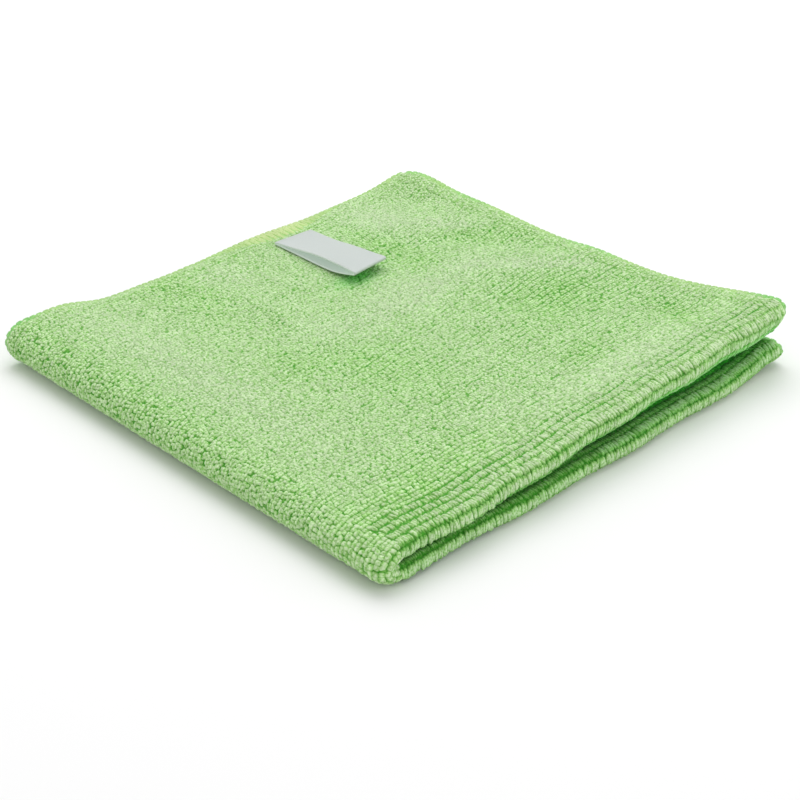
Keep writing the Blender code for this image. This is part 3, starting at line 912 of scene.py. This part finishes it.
# ---- Materials ----
BLACK = (0.0, 0.0, 0.0, 1.0)
WHITE = (1.0, 1.0, 1.0, 1.0)


def node(tree, kind, inputs, **settings):
    """A new node. An input is a fixed value, or another node's output that is linked to it."""
    made = tree.nodes.new(kind)
    for key, value in settings.items():
        setattr(made, key, value)
    for key, value in inputs.items():
        if isinstance(value, bpy.types.NodeSocket):
            tree.links.new(value, made.inputs[key])
        else:
            made.inputs[key].default_value = value
    return made


def attribute(tree, name):
    return node(tree, "ShaderNodeAttribute", {}, attribute_name=name).outputs["Fac"]


def maths(tree, operation, first, second=0.0):
    made = node(tree, "ShaderNodeMath", {0: first, 1: second}, operation=operation)
    return made.outputs[0]


def ramp(tree, value, low, high, start=0.0, end=1.0):
    """Goes from start to end while the value goes from low to high."""
    inputs = {"Value": value, "From Min": low, "From Max": high, "To Min": start, "To Max": end}
    return node(tree, "ShaderNodeMapRange", inputs).outputs["Result"]


def noise(tree, scale, detail, distortion=0.0):
    place = node(tree, "ShaderNodeTexCoord", {}).outputs["Object"]
    inputs = {"Vector": place, "Scale": scale, "Detail": detail, "Distortion": distortion}
    return node(tree, "ShaderNodeTexNoise", inputs).outputs["Fac"]


def mixed(tree, share, first, second, blend="MIX"):
    inputs = {"Factor": share, 6: first, 7: second}  # 6 and 7 are its two colours
    made = node(tree, "ShaderNodeMix", inputs, data_type="RGBA", blend_type=blend)
    return made.outputs[2]


def group(name, inputs, output, kind):
    """A shader group with only its inputs, at their starting values, and its one output."""
    tree = bpy.data.node_groups.new(name, "ShaderNodeTree")
    for label, value in inputs.items():
        given = "NodeSocketFloat" if isinstance(value, float) else "NodeSocketColor"
        socket = tree.interface.new_socket(label, in_out="INPUT", socket_type=given)
        socket.default_value = value
    tree.interface.new_socket(output, in_out="OUTPUT", socket_type=kind)
    put = tree.nodes.new("NodeGroupOutput").inputs[output]
    return tree, tree.nodes.new("NodeGroupInput").outputs, put


def yarn_colour_group():
    """Dyed yarn, painted with shade at a loop's root and light at its tip; each loop a little its
    own tone.
    """
    inputs = {"Root": BLACK, "Body": WHITE, "Tip": WHITE, "Speck": WHITE, "Shade Tint": WHITE}
    inputs |= {"Tone Spread": 0.06, "Patch Spread": 0.04, "Speckle": 0.6}
    tree, given, put = group("yarn_colour", inputs, "Colour", "NodeSocketColor")
    specks = noise(tree, 1300.0, 3.0)
    speck = maths(tree, "MULTIPLY", maths(tree, "SUBTRACT", specks, 0.5), given["Speckle"])
    rise = maths(tree, "ADD", attribute(tree, "rise"), speck)
    # painted shade at a loop's root and painted light at its tip, by its rise
    body = mixed(tree, ramp(tree, rise, 0.2, 0.65), given["Root"], given["Body"])
    yarn = mixed(tree, ramp(tree, rise, 0.65, 0.97), body, given["Tip"])
    dark = maths(tree, "MULTIPLY", ramp(tree, specks, 0.36, 0.5, 1.0, 0.0), given["Speckle"])
    yarn = mixed(tree, dark, yarn, given["Speck"])
    patches = ramp(tree, noise(tree, 70.0, 3.0), 0.0, 1.0, -1.6, 1.6)
    by_patch = maths(tree, "MULTIPLY", patches, given["Patch Spread"])
    by_tone = maths(tree, "MULTIPLY", attribute(tree, "tone"), given["Tone Spread"])
    light = maths(tree, "ADD", maths(tree, "ADD", by_tone, by_patch), 1.0)
    varied = node(tree, "ShaderNodeHueSaturation", {"Color": yarn, "Value": light})
    # painted shade of the mouth, the label's shade and the close pile, tinted in by the deep
    # attribute
    painted_shade_tint = mixed(tree, attribute(tree, "deep"), WHITE, given["Shade Tint"])
    tree.links.new(mixed(tree, 1.0, varied.outputs["Color"], painted_shade_tint, "MULTIPLY"), put)
    return tree


def fibres_group():
    """Height of the fine fibres that cover yarn, thread and ribbon."""
    inputs = {"Scale": 1800.0, "Coarse Share": 0.4}
    tree, given, put = group("fine_fibres", inputs, "Height", "NodeSocketFloat")
    fine = noise(tree, given["Scale"], 3.0, 1.2)
    coarse = noise(tree, maths(tree, "MULTIPLY", given["Scale"], 0.33), 1.0)
    height = node(tree, "ShaderNodeMix", {"Factor": given["Coarse Share"], "A": fine, "B": coarse})
    tree.links.new(height.outputs["Result"], put)
    return tree


def weave_group():
    """Height of a satin weave, from a ribbon's own lengths along and across it."""
    inputs = {"Threads": 2.2, "Bind": 0.4}
    tree, given, put = group("satin_weave", inputs, "Height", "NodeSocketFloat")
    across = attribute(tree, "across")
    slanted = maths(tree, "ADD", attribute(tree, "along"), maths(tree, "MULTIPLY", across, 0.25))
    turns = maths(tree, "MULTIPLY", given["Threads"], 2 * math.pi)
    warp = maths(tree, "SINE", maths(tree, "MULTIPLY", across, turns))
    weft = maths(tree, "SINE", maths(tree, "MULTIPLY", slanted, turns))
    tree.links.new(maths(tree, "ADD", warp, maths(tree, "MULTIPLY", weft, given["Bind"])), put)
    return tree


def placed(tree, made, values):
    """The output of a group that is placed in a material with its own values."""
    return node(tree, "ShaderNodeGroup", values, node_tree=made).outputs[0]


def material(name, values):
    """A material with these values on its shader: (material, its nodes, shader's inputs)."""
    made = bpy.data.materials.new(name)
    made.use_nodes = True
    shader = made.node_tree.nodes["Principled BSDF"].inputs
    for key, value in values.items():
        shader[key].default_value = value
    return made, made.node_tree, shader


def add_relief(tree, shader, height, values):
    relief = node(tree, "ShaderNodeBump", {"Height": height, **values})
    tree.links.new(relief.outputs["Normal"], shader["Normal"])


def cloth_material(name, groups, colours, values, relief, fibres):
    made, tree, shader = material(name, values)
    tree.links.new(placed(tree, groups["colour"], colours), shader["Base Color"])
    add_relief(tree, shader, placed(tree, groups["fibres"], fibres), relief)
    return made


def terry_material(groups):
    return cloth_material(
        "microfibre_terry",
        groups,
        {
            # Root to Tip paint shade low in the pile and light at its tips; the green tint is for
            # the painted shade
            "Root": (0.06, 0.31, 0.02, 1),
            "Body": (0.355, 0.64, 0.20, 1),
            "Tip": (0.62, 0.79, 0.48, 1),
            "Speck": (0.22, 0.50, 0.10, 1),
            "Shade Tint": (0.08, 1.03, 0.09, 1),
            "Tone Spread": 0.1,
            "Patch Spread": 0.04,
            "Speckle": 0.75,
        },
        {
            "Roughness": 1.0,
            "Specular IOR Level": 0.05,
            "Sheen Weight": 0.2,
            "Sheen Roughness": 0.5,
        },
        {"Strength": 0.9, "Distance": 0.0003},
        {"Scale": 1700.0, "Coarse Share": 0.3},
    )


def thread_material(groups):
    return cloth_material(
        "overlock_thread",
        groups,
        {
            # Root to Tip paint shade low on the thread and light at its top; the green tint is for
            # the painted shade
            "Root": (0.28, 0.54, 0.12, 1),
            "Body": (0.43, 0.60, 0.21, 1),
            "Tip": (0.54, 0.67, 0.30, 1),
            "Speck": (0.28, 0.50, 0.1, 1),
            "Shade Tint": (0.2, 0.86, 0.35, 1),
            "Tone Spread": 0.05,
            "Patch Spread": 0.06,
            "Speckle": 0.6,
        },
        {
            "Roughness": 0.8,
            "Specular IOR Level": 0.15,
            "Sheen Weight": 0.15,
            "Sheen Roughness": 0.5,
        },
        {"Strength": 0.4, "Distance": 0.00015},
        {"Scale": 2600.0, "Coarse Share": 0.2},
    )


def ribbon_material(groups):
    """Satin with a painted glow between its leaves, which stands in for the light that comes
    through them.
    """
    values = {
        "Base Color": (0.51, 0.55, 0.535, 1),
        "Roughness": 0.42,
        "Specular IOR Level": 0.45,
        "Subsurface Weight": 0.6,
        "Subsurface Radius": (1.0, 1.0, 1.0),
        "Subsurface Scale": 0.0015,
        "Sheen Weight": 0.1,
        "Emission Strength": 1.0,
    }
    made, tree, shader = material("satin_ribbon", values)
    weave = placed(tree, groups["weave"], {"Threads": 2.2, "Bind": 0.4})
    fibres = placed(tree, groups["fibres"], {"Scale": 2500.0, "Coarse Share": 0.5})
    height = maths(tree, "ADD", weave, fibres)
    add_relief(tree, shader, height, {"Strength": 0.35, "Distance": 0.00006})
    # painted glow: emission on the faces marked inside, which stands in for the light that comes
    # through the satin
    painted_glow = mixed(tree, attribute(tree, "inside"), BLACK, (0.16, 0.195, 0.165, 1.0))
    tree.links.new(painted_glow, shader["Emission Color"])
    return made


# ---- Ground and label ----
def build_ground(sheet, finish):
    x, y = sheet.points[..., 0], sheet.points[..., 1]
    from_folds = FOLDED_SIDE / 2 - x
    in_pile = under_pile(x, y)
    fill = in_pile * (RIB_FILL + (FILL - RIB_FILL) * eased(from_folds, *RIB_FILL_REACH))
    points, faces = shell_of(sheet.points, sheet.normal, sheet.knit + fill)
    # painted shade on the ground between the loops: darker where the pile is crisp and near the
    # small folds, paler at the hem
    crisp = np.where(from_folds > RIBS_REACH, crispness(x, y), 1.0)
    rise = np.maximum(GROUND_PALE - CRISP_GROUND_SHADE * crisp, HEM_PALE * (1 - in_pile))
    zone = sheet.row_zone[:, None]
    # painted shade in the mouth, and on the ground between the layers away from its edges
    outer_shade = painted_shade(sheet.points, sheet.normal[..., 2], zone, sheet.column_zone)
    inner_shade = INNER_SHADE * eased(inside_edge(x, y), 0, MOUTH_END)
    values = {
        "rise": np.concatenate([rise, rise]),
        "tone": np.zeros(len(points)),
        "deep": np.concatenate([outer_shade, inner_shade]),
    }
    ground = mesh_object("cloth_ground", points, faces, values, finish)
    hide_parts("cloth")
    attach(ground, "root")
    return ground


def build_label(finish):
    stations = column(LABEL, "along")
    along = np.linspace(0, stations[-1], LABEL_STEPS)
    lower = through(along, stations, column(LABEL, "lower"))
    upper = through(along, stations, column(LABEL, "upper"))
    radius, middle = (upper[-1] - lower[-1]) / 2, (upper[-1] + lower[-1]) / 2
    path = [(a, h, 0.0) for a, h in zip(along, lower)]
    for angle in np.radians(np.linspace(-90, 90, LABEL_FOLD_STEPS)[1:-1]):
        out, up = radius * math.cos(angle), radius * math.sin(angle)
        path.append((stations[-1] + out, middle + up, 0.5))
    path += [(a, h, 1.0) for a, h in zip(along[::-1], upper[::-1])]
    far, height, on_upper = (np.array(part)[:, None] for part in zip(*path))
    across = np.linspace(-0.5, 0.5, LABEL_LINES)
    ahead = far * (1 - LABEL_SKEW * (across + 0.5) / stations[-1])
    aside = np.broadcast_to(across * LABEL_WIDTH, ahead.shape)
    turn = math.radians(LABEL_TURN)
    x = LABEL_ROOT[0] + math.cos(turn) * ahead - math.sin(turn) * aside
    y = LABEL_ROOT[1] + math.sin(turn) * ahead + math.cos(turn) * aside
    seat = stack(x, y)["face"] + thickness(x, y) / 2 + LABEL_SEAT + RIBBON / 2
    swell = np.sin(math.pi * np.minimum(far / stations[-1], 1.0))
    tilt = LABEL_TILT * (0.5 - across) * swell * on_upper
    grid = np.stack([x, y, seat + height + tilt], axis=-1)
    normal = unit(np.cross(np.gradient(grid, axis=0), np.gradient(grid, axis=1)))
    points, faces = shell_of(grid, normal, np.full(x.shape, RIBBON / 2))
    lengths = np.broadcast_to(run_length(grid[:, LABEL_LINES // 2])[:, None], x.shape)
    values = {
        "along": np.concatenate([lengths, lengths]),
        "across": np.concatenate([aside, aside]),
        # inside is 1 on the faces that get the painted glow
        "inside": np.concatenate([np.ones(x.shape), np.zeros(x.shape)]),
    }
    ribbon = mesh_object("label_ribbon", points, faces, values, finish)
    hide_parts("label")
    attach(ribbon, "root")
    return ribbon


# ---- Stage ----
CAMERA_LENS = 76.5
CAMERA_SENSOR = 36.0
CAMERA_AZIMUTH = 46.08  # in degrees, as the elevation
CAMERA_ELEVATION = 29.96
CAMERA_DISTANCE = 615.16
CAMERA_TARGET = (5.17, -2.78, -11.70)
FLOOR_REACH = 3.0  # metres from its middle to each side
SKY_LIGHT = 0.7
PALE_GREY = (0.9, 0.9, 0.9, 1.0)
Lamp = namedtuple("Lamp", "name energy size place")  # in watts and metres
LAMPS = (Lamp("key", 8.6, 1.1, (-0.35, 0.3, 1.1)), Lamp("fill", 2.5, 0.9, (0.98, 0.62, 0.32)))


def build_camera():
    turn, up = math.radians(CAMERA_AZIMUTH), math.radians(CAMERA_ELEVATION)
    back = Vector((math.sin(turn) * math.cos(up), -math.cos(turn) * math.cos(up), math.sin(up)))
    lens = bpy.data.cameras.new("camera")
    lens.lens = CAMERA_LENS
    lens.sensor_width = CAMERA_SENSOR
    camera = bpy.data.objects.new("camera", lens)
    camera.location = (Vector(CAMERA_TARGET) + back * CAMERA_DISTANCE) * MM
    camera.rotation_mode = "QUATERNION"
    camera.rotation_quaternion = back.to_track_quat("Z", "Y")
    bpy.context.scene.collection.objects.link(camera)
    bpy.context.scene.camera = camera


def build_stage():
    mesh = bpy.data.meshes.new("floor")
    reach = FLOOR_REACH
    corners = [(-reach, -reach, 0), (reach, -reach, 0), (reach, reach, 0), (-reach, reach, 0)]
    mesh.from_pydata(corners, [], [(0, 1, 2, 3)])
    mesh.materials.append(material("floor", {"Base Color": PALE_GREY, "Roughness": 0.9})[0])
    floor = bpy.data.objects.new("floor", mesh)
    bpy.context.scene.collection.objects.link(floor)
    world = bpy.data.worlds.new("studio")
    world.use_nodes = True
    sky = world.node_tree.nodes["Background"].inputs
    sky["Color"].default_value = WHITE
    sky["Strength"].default_value = SKY_LIGHT
    bpy.context.scene.world = world
    for lamp in LAMPS:
        data = bpy.data.lights.new(lamp.name, "AREA")
        data.energy = lamp.energy
        data.size = lamp.size
        light = bpy.data.objects.new(lamp.name, data)
        light.location = lamp.place
        light.rotation_mode = "QUATERNION"
        light.rotation_quaternion = Vector(lamp.place).to_track_quat("Z", "Y")
        bpy.context.scene.collection.objects.link(light)
    bpy.context.scene.view_settings.view_transform = "Standard"


def main():
    groups = {"colour": yarn_colour_group(), "fibres": fibres_group(), "weave": weave_group()}
    terry = terry_material(groups)
    sheet = folded_sheet()
    ground = build_ground(sheet, terry)
    pile = build_pile(sheet, terry)
    hem = build_overlock(sheet, thread_material(groups))
    ribbon = build_label(ribbon_material(groups))
    build_camera()
    build_stage()


main()
